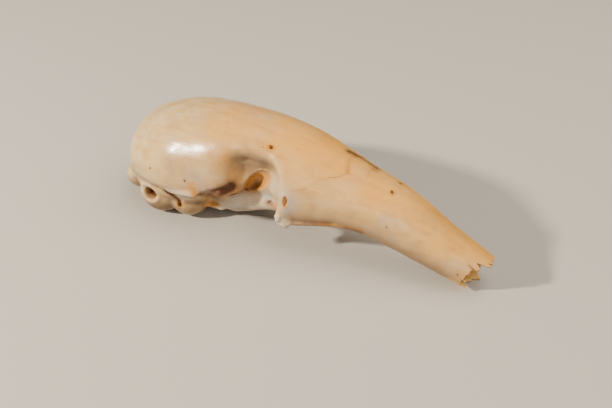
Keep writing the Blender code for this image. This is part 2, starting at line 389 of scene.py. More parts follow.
# All overlapping skins become one, at a step of voxel millimetres
def fuse(obj, voxel):
    modifier = obj.modifiers.new("fuse", "REMESH")
    modifier.mode = "VOXEL"
    modifier.voxel_size = voxel * 0.001
    return settle(obj)


# Takes the shapes out of the object
def cutAway(obj, shapes):
    helpers = bpy.data.collections.new("cutters")
    bpy.context.scene.collection.children.link(helpers)
    for shape in shapes:
        helper = meshOf("cutter", [shape])
        bpy.context.scene.collection.objects.unlink(helper)
        helpers.objects.link(helper)
    modifier = obj.modifiers.new("cut", "BOOLEAN")
    modifier.operation = "DIFFERENCE"
    modifier.solver = "EXACT"
    modifier.operand_type = "COLLECTION"
    modifier.collection = helpers
    settle(obj)
    for helper in list(helpers.objects):
        bpy.data.objects.remove(helper)
    bpy.data.collections.remove(helpers)
    return obj


def pointsOf(mesh):
    points = np.empty(len(mesh.vertices) * 3)
    mesh.vertices.foreach_get("co", points)
    return skullOf(points.reshape(-1, 3))


def normalsOf(mesh):
    normals = np.empty(len(mesh.vertices) * 3)
    mesh.vertex_normals.foreach_get("vector", normals)
    return normals.reshape(-1, 3)


def setPoints(mesh, points):
    mesh.vertices.foreach_set("co", world(points).ravel())
    mesh.update()


# Each point moves towards the mean of its neighbours by share * weight, then a little back, so
# that bumps go and the size stays
def relax(mesh, points, rounds, weight=1.0, back=0.52):
    edges = np.empty(len(mesh.edges) * 2, int)
    mesh.edges.foreach_get("vertices", edges)
    a, b = edges.reshape(-1, 2).T
    count = np.bincount(a, minlength=len(points)) + np.bincount(b, minlength=len(points))
    weight = np.broadcast_to(weight, len(points))
    for _ in range(rounds):
        for share in (0.5, -back):
            around = np.empty_like(points)
            for axis in range(3):
                p = points[:, axis]
                around[:, axis] = np.bincount(a, p[b], len(p)) + np.bincount(b, p[a], len(p))
            points = points + share * weight[:, None] * (around / count[:, None] - points)
    return points


# Shortest distance from every point to a line through knots, or to a single knot
def distanceTo(points, knots):
    knots = np.array(knots if len(knots) > 1 else knots * 2, float)
    best = np.full(len(points), 1e9)
    for start, end in zip(knots, knots[1:]):
        along = end - start
        t = np.clip((points - start) @ along / max(along @ along, 1e-9), 0, 1)
        best = np.minimum(best, np.linalg.norm(points - start - t[:, None] * along, axis=1))
    return best


# Points of both sides moved to the animal's left, by the size of y
def mirroredIn(points):
    return points * (1, 0, 1) + np.abs(points) * (0, 1, 0)


# Low relief on both sides, with y given on the animal's left: knots, depth (negative goes in)
# and width, all in millimetres
relief = {
    "underTemple": ([(33, 19.2, 11.8), (36.4, 18.7, 12.6), (41, 17.6, 14.6)], -0.8, 1.1),
    "temporalBar": ([(38.5, 16.6, 11.6), (42, 15.6, 13.6), (46.0, 13.0, 15.6)], 0.4, 0.9),
    "lowerGroove": (
        [(34.5, 15.2, 8.4), (38.5, 14.4, 10.4), (43.5, 12.4, 12.6), (47.6, 10.0, 13.8)],
        -1.5, 1.1,
    ),
    "plateHollow": ([(38, 9.2, 8.6), (46, 9.4, 11.2), (54, 9.4, 13.0), (58, 10.0, 14.0)], -0.9, 1.5),
    "bullaFissure": (
        [
            (21.2, 18.9, 12.2), (23.6, 18.3, 11.0), (26.1, 17.6, 9.2), (27.6, 17.0, 6.8),
            (27.4, 16.2, 4.2),
        ],
        -0.4, 0.9,
    ),
    "bullaStreak": ([(28.6, 16.8, 8.2), (30.9, 15.8, 7.6), (33.2, 13.4, 6.8)], -0.35, 0.7),
    "flangeGroove": ([(68.0, 12.9, 11.6), (73.0, 12.0, 12.2), (80.1, 10.6, 13.6)], -0.3, 0.8),
    "lacrimalRidge": (
        [
            (60.5, 11.1, 30.3), (63.7, 12.6, 25.8), (65.9, 13.4, 22.3), (65.4, 13.9, 17.4),
            (63.8, 14.1, 13.7),
        ],
        0.35, 2.0,
    ),
    "orbitBrow": (
        [(47, 14.6, 30.2), (50, 13.2, 31.8), (54, 12.0, 32.4), (59, 12.0, 31.4), (62.5, 12.8, 28.4)],
        0.3, 2.2,
    ),
    "orbitDeep": ([(48.6, 13.2, 26.4), (52.6, 12.4, 27.6), (57.5, 11.8, 26.4)], -1.5, 3.6),
    "orbitFloor": ([(50.0, 12.0, 23.4), (57.0, 11.0, 23.0)], -1.2, 3.4),
    "mastoidCrest": (
        [(6.5, 12.0, 8.0), (8.0, 15.0, 12.5), (9.5, 16.2, 18.0), (9.0, 14.0, 24.0)],
        0.3, 0.9,
    ),
    "nasalMargin": (
        [(84.6, 4.0, 28.4), (91.1, 3.7, 26.5), (97.6, 3.5, 24.4), (110, 3.1, 18.4), (120, 2.8, 13.2)],
        -0.07, 0.5,
    ),
    "palateSide": (
        [
            (66, 9.0, 9.8), (74, 9.6, 10.4), (86, 8.0, 10.0), (98, 6.8, 7.2), (110, 5.6, 4.0),
            (119, 5.0, 1.6),
        ],
        0.25, 0.8,
    ),
}


# Low forms with a shape of their own. Waves are rows of height, size and seed.
lowForms = {
    "waves": [(0.10, 17, 3), (0.04, 6, 5)],
    "reliefWaver": [(0.18, 5, 11)],  # as a share of each line's depth
    "earRing": {
        "centre": (16.9, 18.4, 8.3), "stretch": (0.85, 1.0, 1.05),
        "radius": 3.2, "height": 0.4, "width": 0.8,
    },
    "nasalStep": {
        "front": (87.2, 86.0), "rear": (76, 84), "side": (4.6, 2.6), "height": 0.32, "waver": [(0.5, 4, 7)],
    },
    "stub": {"centre": (64.2, 14.8, 10.2), "radius": 2.9, "waves": [(0.5, 1.3, 13), (0.5, 2.4, 15)]},
    "palateSeam": {"slope": 0.15, "end": 130.0, "from": (58, 66), "depth": 0.3, "width": 0.5},
}


# Sum of wanderings, each with its own height, size and seed
def waves(points, rows):
    return sum(height * wander(points, size, seed) for height, size, seed in rows)


# The raised or sunk height at every point of the outer skin
def heightAt(points):
    p = mirroredIn(points)
    x, y, z = p.T
    height = waves(points, lowForms["waves"])
    waver = 1 + waves(points, lowForms["reliefWaver"])
    for knots, depth, width in relief.values():
        height += depth * bell(distanceTo(p, knots), width) * waver
    ear = lowForms["earRing"]
    ring = np.linalg.norm((p - ear["centre"]) * ear["stretch"], axis=1)
    height += ear["height"] * bell(ring - ear["radius"], ear["width"])
    # The frontal bones stand a little above the nasals
    step = lowForms["nasalStep"]
    raised = ease(*step["front"], x + waves(points, step["waver"])) * ease(*step["rear"], x)
    height += step["height"] * raised * ease(*step["side"], y)
    # Rough break of the cheek arch
    stub = lowForms["stub"]
    rough = bell(np.linalg.norm(p - stub["centre"], axis=1), stub["radius"])
    height += rough * waves(points, stub["waves"])
    # Seam along the middle of the palate
    seam = lowForms["palateSeam"]
    under = ease(0.0, -0.6, z - seam["slope"] * (seam["end"] - x)) * ease(*seam["from"], x)
    height -= seam["depth"] * bell(points[:, 1], seam["width"]) * under
    return height


# The toothed surface where the snout broke off: x as a function of the angle from the top
# towards the animal's left, with small teeth that change a little through the wall
snapped = {
    "knots": [
        (0, 126.8), (8, 126.4), (16, 127.0), (28, 126.6), (45, 126.4), (60, 125.6), (75, 125.0), (90, 124.2),
        (105, 123.2), (118, 122.2), (130, 121.9), (141, 121.5), (150, 122.5), (155, 123.2), (160, 121.8),
        (166, 120.8), (173, 121.2), (181, 120.2), (190, 119.9), (200, 119.4), (212, 119.8), (220, 120.8),
        (227, 121.3), (235, 119.5), (246, 119.9), (256, 120.3), (266, 120.9), (276, 121.2), (283, 121.9),
        (290, 122.2), (296, 122.8), (301, 124.4), (306, 124.8), (313, 124.1), (321, 123.5), (323, 126.4),
        (327, 127.2), (334, 126.9), (339, 126.1), (345, 127.1), (353, 127.2), (360, 126.8),
    ],
    "axis": 6.4,  # height of the middle of the snout's end
    "tooth": 0.2,  # share of the jags, which are waves read on a ring of this radius
    "jagRing": 6,
    "jags": [(0.6, 1.1, 21), (0.6, 2.6, 22)],
    "through": 0.25,  # how far they move on per millimetre of wall
    "radii": (1.2, 9.5, 26),  # first, last and count of the rings
    "reach": 16.0,
    "deepest": (118.5, 0.6),  # where the surface closes behind the break, and its radius
    "clear": 12.0,  # how far it goes past the snout
}


# At angle u and radius r round the snout's middle: y = r sin u, z = axis + r cos u, and x is the
# knots' value at u with waves added. Behind, it closes to a small ring, and ahead it goes wide.
def snappedOff():
    angle, at = np.array(snapped["knots"]).T
    turn = np.arange(0, 360, 0.5)
    reach, axis = snapped["reach"], snapped["axis"]
    radius = np.concatenate([np.linspace(*snapped["radii"]), [reach]])
    u, r = np.meshgrid(np.radians(turn), radius)
    x = np.interp(turn, angle, at)[None] + 0 * r
    y, z = r * np.sin(u), r * np.cos(u)
    wide = snapped["jagRing"]
    ring = np.stack([np.cos(u) * wide, np.sin(u) * wide, snapped["through"] * r], -1).reshape(-1, 3)
    x = x + snapped["tooth"] * waves(ring, snapped["jags"]).reshape(x.shape)
    face = np.stack([x, y, z + axis], -1)

    def circle(x, radius):
        return np.stack([0 * turn + x, radius * np.sin(u[0]), axis + radius * np.cos(u[0])], -1)[None]

    far = circle(skullLength + snapped["clear"], reach)
    return closedTube(np.concatenate([circle(*snapped["deepest"]), face, far]))


# Small holes and cracks on both sides: path of (x, y, z, radius)
foramina = {
    "frontal": [(57.8, 10.0, 34.3, 0.9), (58.0, 9.3, 33.0, 0.75), (58.2, 8.8, 32.0, 0.4)],
    "frontalRear": [(55.6, 10.6, 33.2, 0.22), (55.7, 9.6, 32.0, 0.2)],
    "nasal": [(95.5, 2.9, 26.2, 0.7), (95.2, 2.7, 25.2, 0.55), (94.8, 2.6, 24.7, 0.3)],
    "lacrimal": [
        (65.6, 14.5, 20.6, 0.4), (65.6, 14.2, 19.4, 0.8), (65.6, 14.2, 18.0, 0.85),
        (65.6, 14.6, 17.0, 0.4),
    ],
    "squamous": [(32.4, 20.4, 18.6, 0.34), (32.4, 18.9, 18.3, 0.28)],
    "mastoid": [(18.6, 19.9, 18.7, 0.4), (18.8, 18.2, 18.4, 0.3)],
    "palatine": [(55.2, 9.4, 11.4, 0.6), (56.6, 8.2, 12.0, 0.75), (57.6, 7.6, 12.4, 0.4)],
    "sphenoid": [(47.4, 10.6, 13.6, 0.9), (47.0, 8.4, 13.4, 0.7)],
    "tube": [(27.7, 17.9, 6.2, 0.85), (27.2, 15.8, 6.0, 0.9), (26.4, 14.2, 5.8, 0.6)],
    "fissure": [
        (22.6, 18.3, 12.0, 0.35), (24.2, 18.1, 11.2, 0.7), (25.8, 17.7, 10.2, 0.8),
        (26.8, 17.0, 8.6, 0.7), (27.7, 16.9, 7.2, 0.75), (27.6, 16.8, 5.2, 0.5),
    ],
    "lip": [
        (24.4, 18.4, 11.5, 0.5), (27.0, 18.8, 11.7, 0.55), (30.6, 19.2, 12.1, 0.55),
        (33.7, 19.2, 12.2, 0.4),
    ],
    "jugular": [(10.5, 8.4, 1.8, 1.0), (10.8, 8.6, 4.6, 1.2), (11.0, 8.6, 6.2, 0.8)],
    "hypoglossal": [(6.8, 5.0, 2.4, 0.55), (7.2, 5.2, 5.0, 0.5)],
    "palateFront": [(78.0, 3.2, 8.6, 0.4), (78.3, 3.2, 11.4, 0.4)],
    "palateMid": [(88.0, 2.8, 8.0, 0.35), (88.3, 2.8, 10.6, 0.35)],
    "snoutSide": [(96.7, 9.6, 17.0, 0.24), (96.9, 8.2, 17.0, 0.22)],
    "snoutTip": [(119.0, 7.3, 6.8, 0.26), (119.0, 6.0, 6.8, 0.22)],
}


def makeSkull():
    skins = [skinOver(cranium["vault"], *cranium["vaultGrid"])]
    skins += [skinOver(cranium["palate"], *cranium["palateGrid"], hollowed=False)]
    for shape in cranium["balls"]:
        skins += bothSides(ball(*shape))
    for path in (cranium["temple"], cranium["flange"], cranium["ledge"]):
        skins += bothSides(bar(path))
    skins += bothSides(wrapped(cranium["cheekRoot"]))
    skull = fuse(meshOf("skull", skins), cranium["firstVoxel"])
    print("skins fused:", clock(), flush=True)

    pits = [ball(*cranium["foramenMagnum"]), bar(cranium["palateOpening"])]
    pits += bothSides(ball(*cranium["earOpening"]))
    for path in cranium["pits"]:
        pits += bothSides(bar(path))
    cutAway(skull, pits)
    print("openings cut:", clock(), flush=True)
    fuse(skull, cranium["voxel"])
    print("skull fused:", len(skull.data.vertices), "points", clock(), flush=True)

    mesh = skull.data
    points = relax(mesh, pointsOf(mesh), cranium["smoothing"])
    setPoints(mesh, points)
    p = mirroredIn(points)
    condyle = cranium["condyleBlend"]
    worn = [bell(np.linalg.norm((p - condyle["centre"]) * condyle["flat"], axis=1), condyle["reach"])]
    worn += [share * bell(distanceTo(p, knots), width) for knots, width, share in cranium["blends"]]
    weight = np.clip(np.maximum.reduce(worn), 0, 1)
    points = relax(mesh, points, cranium["wearing"], weight, back=0.0)
    setPoints(mesh, points)
    points = points + normalsOf(mesh) * heightAt(points)[:, None]
    points = relax(mesh, points, 1)
    points[:, 1] = np.clip(points[:, 1], -cranium["widest"], cranium["widest"])
    points[:, 2] = np.minimum(points[:, 2], cranium["highest"])
    setPoints(mesh, points)
    print("relief done", clock(), flush=True)

    cuts = [skinOver(rooms["brain"], *cranium["roomGrid"])]
    cuts += [skinOver(rooms["airway"], *cranium["airwayGrid"])]
    cuts += [snappedOff()]
    for path in foramina.values():
        cuts += bothSides(bar(path, *cranium["foramenGrid"]))
    cutAway(skull, cuts)
    mesh = skull.data
    points = pointsOf(mesh)
    points[:, 2] -= points[:, 2].min()
    setPoints(mesh, points)
    mesh.shade_smooth()
    mesh.set_sharp_from_angle(angle=math.radians(cranium["sharpAngle"]))
    print("rooms cut:", len(mesh.vertices), "points", len(mesh.polygons), "faces", clock(), flush=True)
    return skull


# Knots of the seams between the bones, on both sides: x, then height above the half width for the
# first two, half width for the third, and height for the last
seamKnots = {
    "frontoMaxillary": (
        [66, 68.1, 71, 73.1, 75.5, 79.5, 81.8, 84],
        [8.6, 9.8, 11.9, 14.5, 18.3, 20.7, 23.9, 25.4],
    ),
    "secondLine": ([68, 71.4, 76.6, 81.6], [18.6, 19.9, 21.2, 23.8]),
    "nasoMaxillary": (
        [81.8, 84.6, 87.9, 91.1, 94.2, 97.6, 110, 120, 127],
        [5.1, 4.1, 3.9, 3.7, 3.4, 3.5, 3.1, 2.8, 2.4],
    ),
    "squamous": ([9, 14, 20, 26, 32, 38, 44], [17, 19.4, 20.8, 21, 20.4, 19.2, 18.6]),
}


# Each seam is the zero line of a signed distance in millimetres, which the material reads. Where
# a seam is to show by a share s, its distance is stretched by 1 + 40 (1 - s).
def seamDistances(points):
    x, y, z = mirroredIn(points).T
    q = z - y
    at = {name: np.interp(x, *knots) for name, knots in seamKnots.items()}
    coronal = (x - (35.4 + 0.76 * y)) * 0.8
    frontoMaxillary = (q - at["frontoMaxillary"]) * 0.7
    secondLine = (q - at["secondLine"]) * 0.7
    nasoFrontal = x - (80.0 + 0.36 * y)
    nasoMaxillary = y - at["nasoMaxillary"]
    lambdoid = (x - (8.6 - 0.015 * (y - 8) ** 2)) * 0.9
    squamous = z - at["squamous"]
    acrossEar = x - (24.5 + 0.04 * y)
    rows = [
        (coronal, 0.7 * ease(24, 29, z) * ease(0.2, 2.5, y)),
        (frontoMaxillary, ease(66, 67.5, x) * ease(82.4, 81.4, x) * ease(16, 20, z)),
        (secondLine, 0.6 * ease(68, 70, x) * ease(82.2, 81.0, x) * ease(20, 24, z)),
        (nasoFrontal, ease(5.3, 4.7, y) * ease(24, 26, z)),
        (nasoMaxillary, ease(81.5, 82.2, x) * (0.35 + 0.45 * ease(101, 96, x)) * ease(2, 5, z)),
        (points[:, 1], 0.5 * ease(8, 10, z) * ease(24, 27, z + 0.25 * (x - 70).clip(0))),
        (lambdoid, 0.6 * ease(10, 14, z) * ease(30, 27, z)),
        (squamous, 0.35 * ease(10, 13, x) * ease(46, 40, x) * ease(12, 14, y)),
        (acrossEar, 0.8 * ease(5.5, 4.8, z) * ease(6.5, 5.6, y)),
    ]
    return np.array([away * (1 + 40 * (1 - np.clip(shown, 0, 1))) for away, shown in rows]).T


# Soft patches of colour: centre or knots, size in millimetres and strength. All are on both
# sides but brownHere, which is only where its numbers say.
patches = {
    "orange": [
        # the first row, on the squamosal ridge, and the sixth, on the ledge below it, are orange stains that
        # also stand in for the highlights there: partly painted highlight
        ([(34.4, 19.4, 17.2), (35.4, 19.3, 15.8), (35.9, 19.5, 14.8)], 1.7, 0.85),
        ([(44.8, 15.0, 28.6), (46.0, 15.0, 25.0), (47.6, 13.6, 20.0)], 4.2, 0.55),
        ([(40.5, 17.6, 24.0), (42.5, 16.6, 20.5)], 3.6, 0.28),
        ([(27.4, 17.2, 6.6)], 1.9, 1.0),
        ([(37.0, 17.0, 12.0), (42.0, 15.6, 13.8), (46.5, 12.6, 15.8)], 3.0, 0.8),
        ([(33.6, 11.2, 5.4), (36.6, 8.8, 4.9)], 1.1, 1.0),
        ([(79.9, 2.0, 30.4), (81.6, 4.9, 29.0)], 0.9, 1.0),
        ([(95.5, 2.9, 25.4)], 1.6, 0.7),
        ([(57.9, 9.4, 32.9)], 1.5, 1.0),
        ([(65.6, 13.9, 19.8), (65.6, 13.9, 17.4)], 1.1, 1.0),
        ([(57.4, 9.4, 12.0), (60.0, 10.6, 13.6)], 1.2, 0.9),
        ([(50.0, 8.4, 16.0), (52.6, 7.4, 18.4), (54.6, 7.8, 20.4)], 2.7, 1.5),
        ([(16.9, 16.6, 8.4), (16.9, 12.0, 8.4)], 2.8, 0.8),
        ([(76.0, 11.0, 12.6), (88.0, 9.6, 13.8)], 1.5, 0.6),
    ],
    # brown is partly stains where tissue dried and partly painted shade: under the temporal line, along the
    # grooves below it, in the fissures, ear opening and foramina, and under the bulla
    "brown": [
        ([(37.4, 18.2, 13.2), (38.8, 18.0, 13.8), (41.0, 17.4, 15.0)], 1.5, 1.3),
        (
            [
                (36.8, 17.4, 13.8), (37.5, 15.8, 12.9), (40.1, 16.0, 13.9), (43.0, 16.8, 16.1),
                (46.3, 14.8, 18.1),
            ],
            2.1, 1.5,
        ),
        ([(37.0, 16.6, 11.6), (40.0, 16.4, 13.2)], 2.2, 0.7),
        ([(41, 17.0, 15.2), (43.4, 16.2, 16.4), (46.4, 14.2, 17.8)], 1.6, 0.75),
        (
            [
                (37.0, 10.0, 7.6), (40.5, 10.2, 10.0), (43.5, 11.0, 12.4), (46.5, 10.8, 14.0),
                (48.8, 9.8, 14.6),
            ],
            2.0, 1.1,
        ),
        ([(23.2, 17.9, 11.6), (24.6, 17.8, 10.9), (26.3, 17.2, 9.4), (27.4, 16.6, 7.2)], 1.0, 1.3),
        ([(25.0, 18.2, 11.4), (30.6, 18.9, 12.0), (34.0, 18.8, 12.2)], 0.7, 0.8),
        ([(17.6, 15.4, 8.4), (17.2, 11.0, 8.4)], 2.5, 1.9),
        ([(48.4, 9.4, 14.4), (50.2, 8.0, 15.4), (51.4, 7.0, 16.6)], 2.0, 0.75),
        ([(15.5, 18.2, 3.6), (19.3, 18.2, 2.8), (22.4, 16.8, 2.8)], 2.4, 0.65),
        ([(29.5, 16.4, 7.8), (32.0, 14.8, 7.2), (33.7, 12.1, 6.4)], 1.0, 0.45),
        ([(58.1, 8.9, 32.4)], 0.7, 0.5),
        ([(95.3, 2.8, 25.0)], 0.7, 0.6),
        ([(65.7, 13.6, 20.0)], 0.5, 0.5),
        ([(55.2, 8.2, 11.5), (57.0, 8.2, 12.2)], 0.9, 0.9),
        ([(68.0, 12.4, 11.4), (73.0, 11.7, 12.2), (78.5, 10.8, 13.4)], 1.3, 0.5),
        ([(84.5, 9.6, 12.8), (88.5, 9.0, 12.6)], 1.4, 0.8),
        ([(66.5, 13.2, 9.6), (72.0, 11.4, 10.4)], 1.2, 0.4),
        ([(32.4, 19.4, 18.5)], 0.5, 0.8),
        ([(18.6, 18.9, 18.6)], 0.5, 0.6),
    ],
    "brownHere": [
        ([(78.2, 2.6, 31.2), (82.0, 3.2, 29.9), (86.8, 3.6, 27.9)], 1.35, 1.0),
        ([(120.4, -4.4, 11.1), (121.8, -5.0, 10.2), (123.4, -5.3, 9.3)], 0.3, 1.0),
        ([(118.6, -5.6, 9.8), (121.0, -5.9, 8.6)], 0.22, 0.6),
        ([(121.0, -2.8, 11.9), (124.2, -3.2, 10.2)], 0.2, 0.7),
        ([(86.0, 1.4, 28.9), (88.0, 2.0, 28.0)], 0.9, 0.4),
        ([(96.7, -8.8, 17.1)], 0.5, 0.6),
        ([(119.1, -6.6, 6.9)], 0.5, 0.6),
    ],
    "pale": [
        ([(38.0, 7.8, 4.6), (45, 7.6, 7.4), (53, 8.0, 11.0), (56, 8.4, 14.0)], 2.9, 0.95),
        ([(62.6, 15.0, 12.0), (65.4, 14.4, 9.4)], 2.4, 0.9),
        ([(66.0, 13.5, 16.0), (66.0, 13.2, 21.0), (61.0, 11.6, 24.0), (58.5, 10.6, 19.0)], 2.8, 0.7),
        ([(24.0, 19.2, 13.2), (30.0, 19.9, 13.6), (34.6, 19.7, 13.6)], 1.0, 0.7),
        ([(28.0, 17.6, 9.2), (32.5, 15.5, 9.4)], 1.8, 0.6),
        ([(16.9, 18.8, 11.6), (13.0, 17.6, 8.4), (16.9, 18.6, 5.0)], 1.2, 0.5),
    ],
    # painted light: a bright golden tone inside the thin broken walls at the snout's end, which the lamps
    # hardly reach
    "paintedLight": [
        ([(117.5, 1.5, 1.2), (122.5, 1.5, 0.2)], 2.6, 1.0),
        ([(118.0, 4.0, 4.0), (122.5, 3.6, 3.0)], 2.2, 0.8),
    ],
    # painted shade: grey-brown in the orbit hollow, low on the cheek and along the snout's lower flank, on
    # and under the bulla and low on the vault's side, with a faint smudge on top of the snout
    "paintedGreyShade": [
        ([(47.5, 12.6, 27.6), (50.6, 11.4, 28.4), (55.0, 10.4, 27.6)], 3.4, 1.0),
        ([(49.5, 11.0, 24.0), (53.0, 10.2, 24.0)], 2.8, 0.8),
        ([(107.5, 2.6, 19.0), (113.0, 2.2, 16.6)], 2.2, 0.22),
        ([(67.6, 13.6, 13.8), (73.0, 12.7, 13.8), (80.0, 11.0, 14.2), (88.0, 9.6, 12.6)], 2.4, 0.75),
        ([(88.0, 9.6, 12.2), (98.0, 8.6, 9.4), (110.0, 7.2, 6.0), (121.0, 6.2, 3.0)], 2.5, 0.8),
        ([(29.6, 16.2, 8.2), (32.0, 14.8, 7.8), (34.0, 12.4, 6.8)], 1.4, 0.8),
        ([(14.0, 17.6, 5.0), (20.0, 18.0, 3.6), (27.0, 16.2, 3.6)], 2.2, 0.6),
        ([(28.0, 19.4, 22.0), (36.0, 18.9, 24.0), (42.0, 17.6, 26.0)], 4.5, 0.4),
    ],
}


# The strongest of the patches at every point, each a bell of the distance to its knots
def patchAmount(points, rows):
    amount = np.zeros(len(points))
    for knots, size, strength in rows:
        amount = np.maximum(amount, strength * bell(distanceTo(points, knots), size))
    return amount


seamSets = ("seamsA", "seamsB", "seamsC")


# Writes the seams and patches into the mesh as attributes, for the material
def markSkull(mesh):
    points = pointsOf(mesh)
    p = mirroredIn(points)
    seams = seamDistances(points)
    for k, name in enumerate(seamSets):
        attribute = mesh.attributes.new(name, "FLOAT_VECTOR", "POINT")
        attribute.data.foreach_set("vector", seams[:, 3 * k:3 * k + 3].ravel())
    amounts = {name: patchAmount(p, patches[name]) for name in ("orange", "brown", "pale", "paintedGreyShade", "paintedLight")}
    here = patchAmount(points, patches["brownHere"])
    amounts["brown"] = np.minimum(np.maximum(amounts["brown"], here), 1)
    for name, values in amounts.items():
        attribute = mesh.attributes.new(name, "FLOAT", "POINT")
        attribute.data.foreach_set("value", values)


# sRGB hex to linear
def colour(hexCode):
    parts = [int(hexCode[k:k + 2], 16) / 255 for k in (0, 2, 4)]
    return (*[c / 12.92 if c <= 0.04045 else ((c + 0.055) / 1.055) ** 2.4 for c in parts], 1.0)


# Adds a shader node and gives its outputs. Inputs are values or sockets, in order or by name.
def node(tree, kind, inputs=(), **settings):
    made = tree.nodes.new("ShaderNode" + kind)
    for key, value in settings.items():
        setattr(made, key, value)
    for key, value in inputs.items() if isinstance(inputs, dict) else enumerate(inputs):
        if isinstance(value, bpy.types.NodeSocket):
            tree.links.new(value, made.inputs[key])
        else:
            made.inputs[key].default_value = value
    return made.outputs


# Aged, cleaned bone: waxy and a little see-through, cream at the back and golden tan along the
# snout, cloudy at the scale of a fingertip, with fine fibres running forwards, brown seams and
# stains where tissue dried in the hollows. Some colour is painted light and shade: painted shade in
# grooves, crevices and on faces turned down, painted light on faces turned up and inside the broken end.
boneLook = {
    "along": [
        (-64, "DCC894"), (-40, "DFC084"), (-22, "E0B574"), (0, "E7BD78"), (22, "EBC07A"),
        (44, "ECBA68"), (64, "EAB058"),
    ],
    "alongDrift": 30.0,  # how far the clouds carry the tones forwards and back
    # painted light: golden orange laid on faces turned up, towards the snout
    "top": "F3AE3C",
    "cloud": "CC9450",
    "milky": "EBD5A8",
    "pale": "D0C8BA",
    "paintedGreyShade": "8A6E50",
    # painted light colour for the inside of the broken end
    "paintedLight": "FCC872",
    # painted shade colour for the hollows and the lower flanks
    "under": "7E664C",
    # painted shade: the colour that faces turned down are darkened towards
    "orange": "CA8828",
    "ashen": "BFB0A0",
    "brown": "52290E",
    "seam": "8A5424",
    # millimetres: share of the stretch along x, size, detail, roughness and distortion
    "noise": {
        "cloudy": (1.0, 14, 3, 0.5, 0.3),
        "patchy": (1.0, 4.5, 4, 0.6, 0.4),
        "fine": (1.0, 1.1, 3, 0.6, 0.0),
        "fibre": (0.09, 0.55, 3, 0.6, 0.0),
        "broadFibre": (0.09, 1.8, 3, 0.55, 0.0),
        "ashy": (1.0, 19, 4, 0.6, 0.8),
        "streaky": (0.45, 5, 5, 0.62, 0.5),
        "wavering": (1.0, 1.6, 4, 0.7, 0.0),
        "broken": (1.0, 2.4, 3, 0.6, 0.0),
    },
    # what each amount reads, from where to where, and what it gives at both ends
    "amounts": {
        "cloud": ("patchy", 0.42, 0.70, 0.0, 0.5),
        "ashen": ("ashy", 0.48, 0.66, 0.0, 0.6),
        "milky": ("streaky", 0.44, 0.74, 0.0, 0.5),
        "facingUp": ("up", 0.2, 0.95, 0.0, 1.0),
        "ahead": ("x", -46, 8, 0.0, 1.0),
        "warm": ("cloudy", 0.3, 0.65, 0.5, 1.0),
        "fibres": ("broadFibre", 0.42, 0.75, 0.0, 0.42),
        # painted shade: its share grows as the normal turns down
        "under": ("up", 0.42, -0.38, 0.0, 0.8),
        "pale": ("patchy", 0.3, 0.6, 0.5, 0.9),
        "paintedGreyShade": ("patchy", 0.3, 0.6, 0.6, 1.0),
        "orange": ("fine", 0.3, 0.7, 0.65, 1.1),
        "brown": ("patchy", 0.25, 0.65, 0.6, 1.15),
        "seam": ("broken", 0.38, 0.62, 0.05, 0.62),
        "roughness": ("patchy", 0.3, 0.7, 0.17, 0.30),
        "roughnessAhead": ("x", -22, 12, 0.0, 0.27),
    },
    # ranges as above, for amounts that are worked out on the way, and distances in millimetres
    "stain": {"ragged": 0.5, "edge": (0.37, 1.15, 0.0, 0.9)},
    "seamLine": {"waver": 1.5, "halo": (0.2, 1.3, 0.2, 0.0), "line": (0.05, 0.22, 1.0, 0.0)},
    "pores": {"apart": 2.2, "chosen": (0.72, 0.78, 0.0, 1.0), "hole": (0.035, 0.075, 1.0, 0.0)},
    "poreTone": 0.55,
    "stainAndPaintedShadeMatt": 0.8,
    "bump": {"fibre": 0.35, "fine": 0.4, "patchy": 0.6, "seam": -0.9, "pore": -1.2},
    "relief": {"Strength": 0.55, "Distance": 0.00012},
    "wax": {
        "IOR": 1.5, "Subsurface Weight": 0.22, "Subsurface Radius": (1.0, 0.65, 0.4),
        "Subsurface Scale": 0.0016,
    },
}


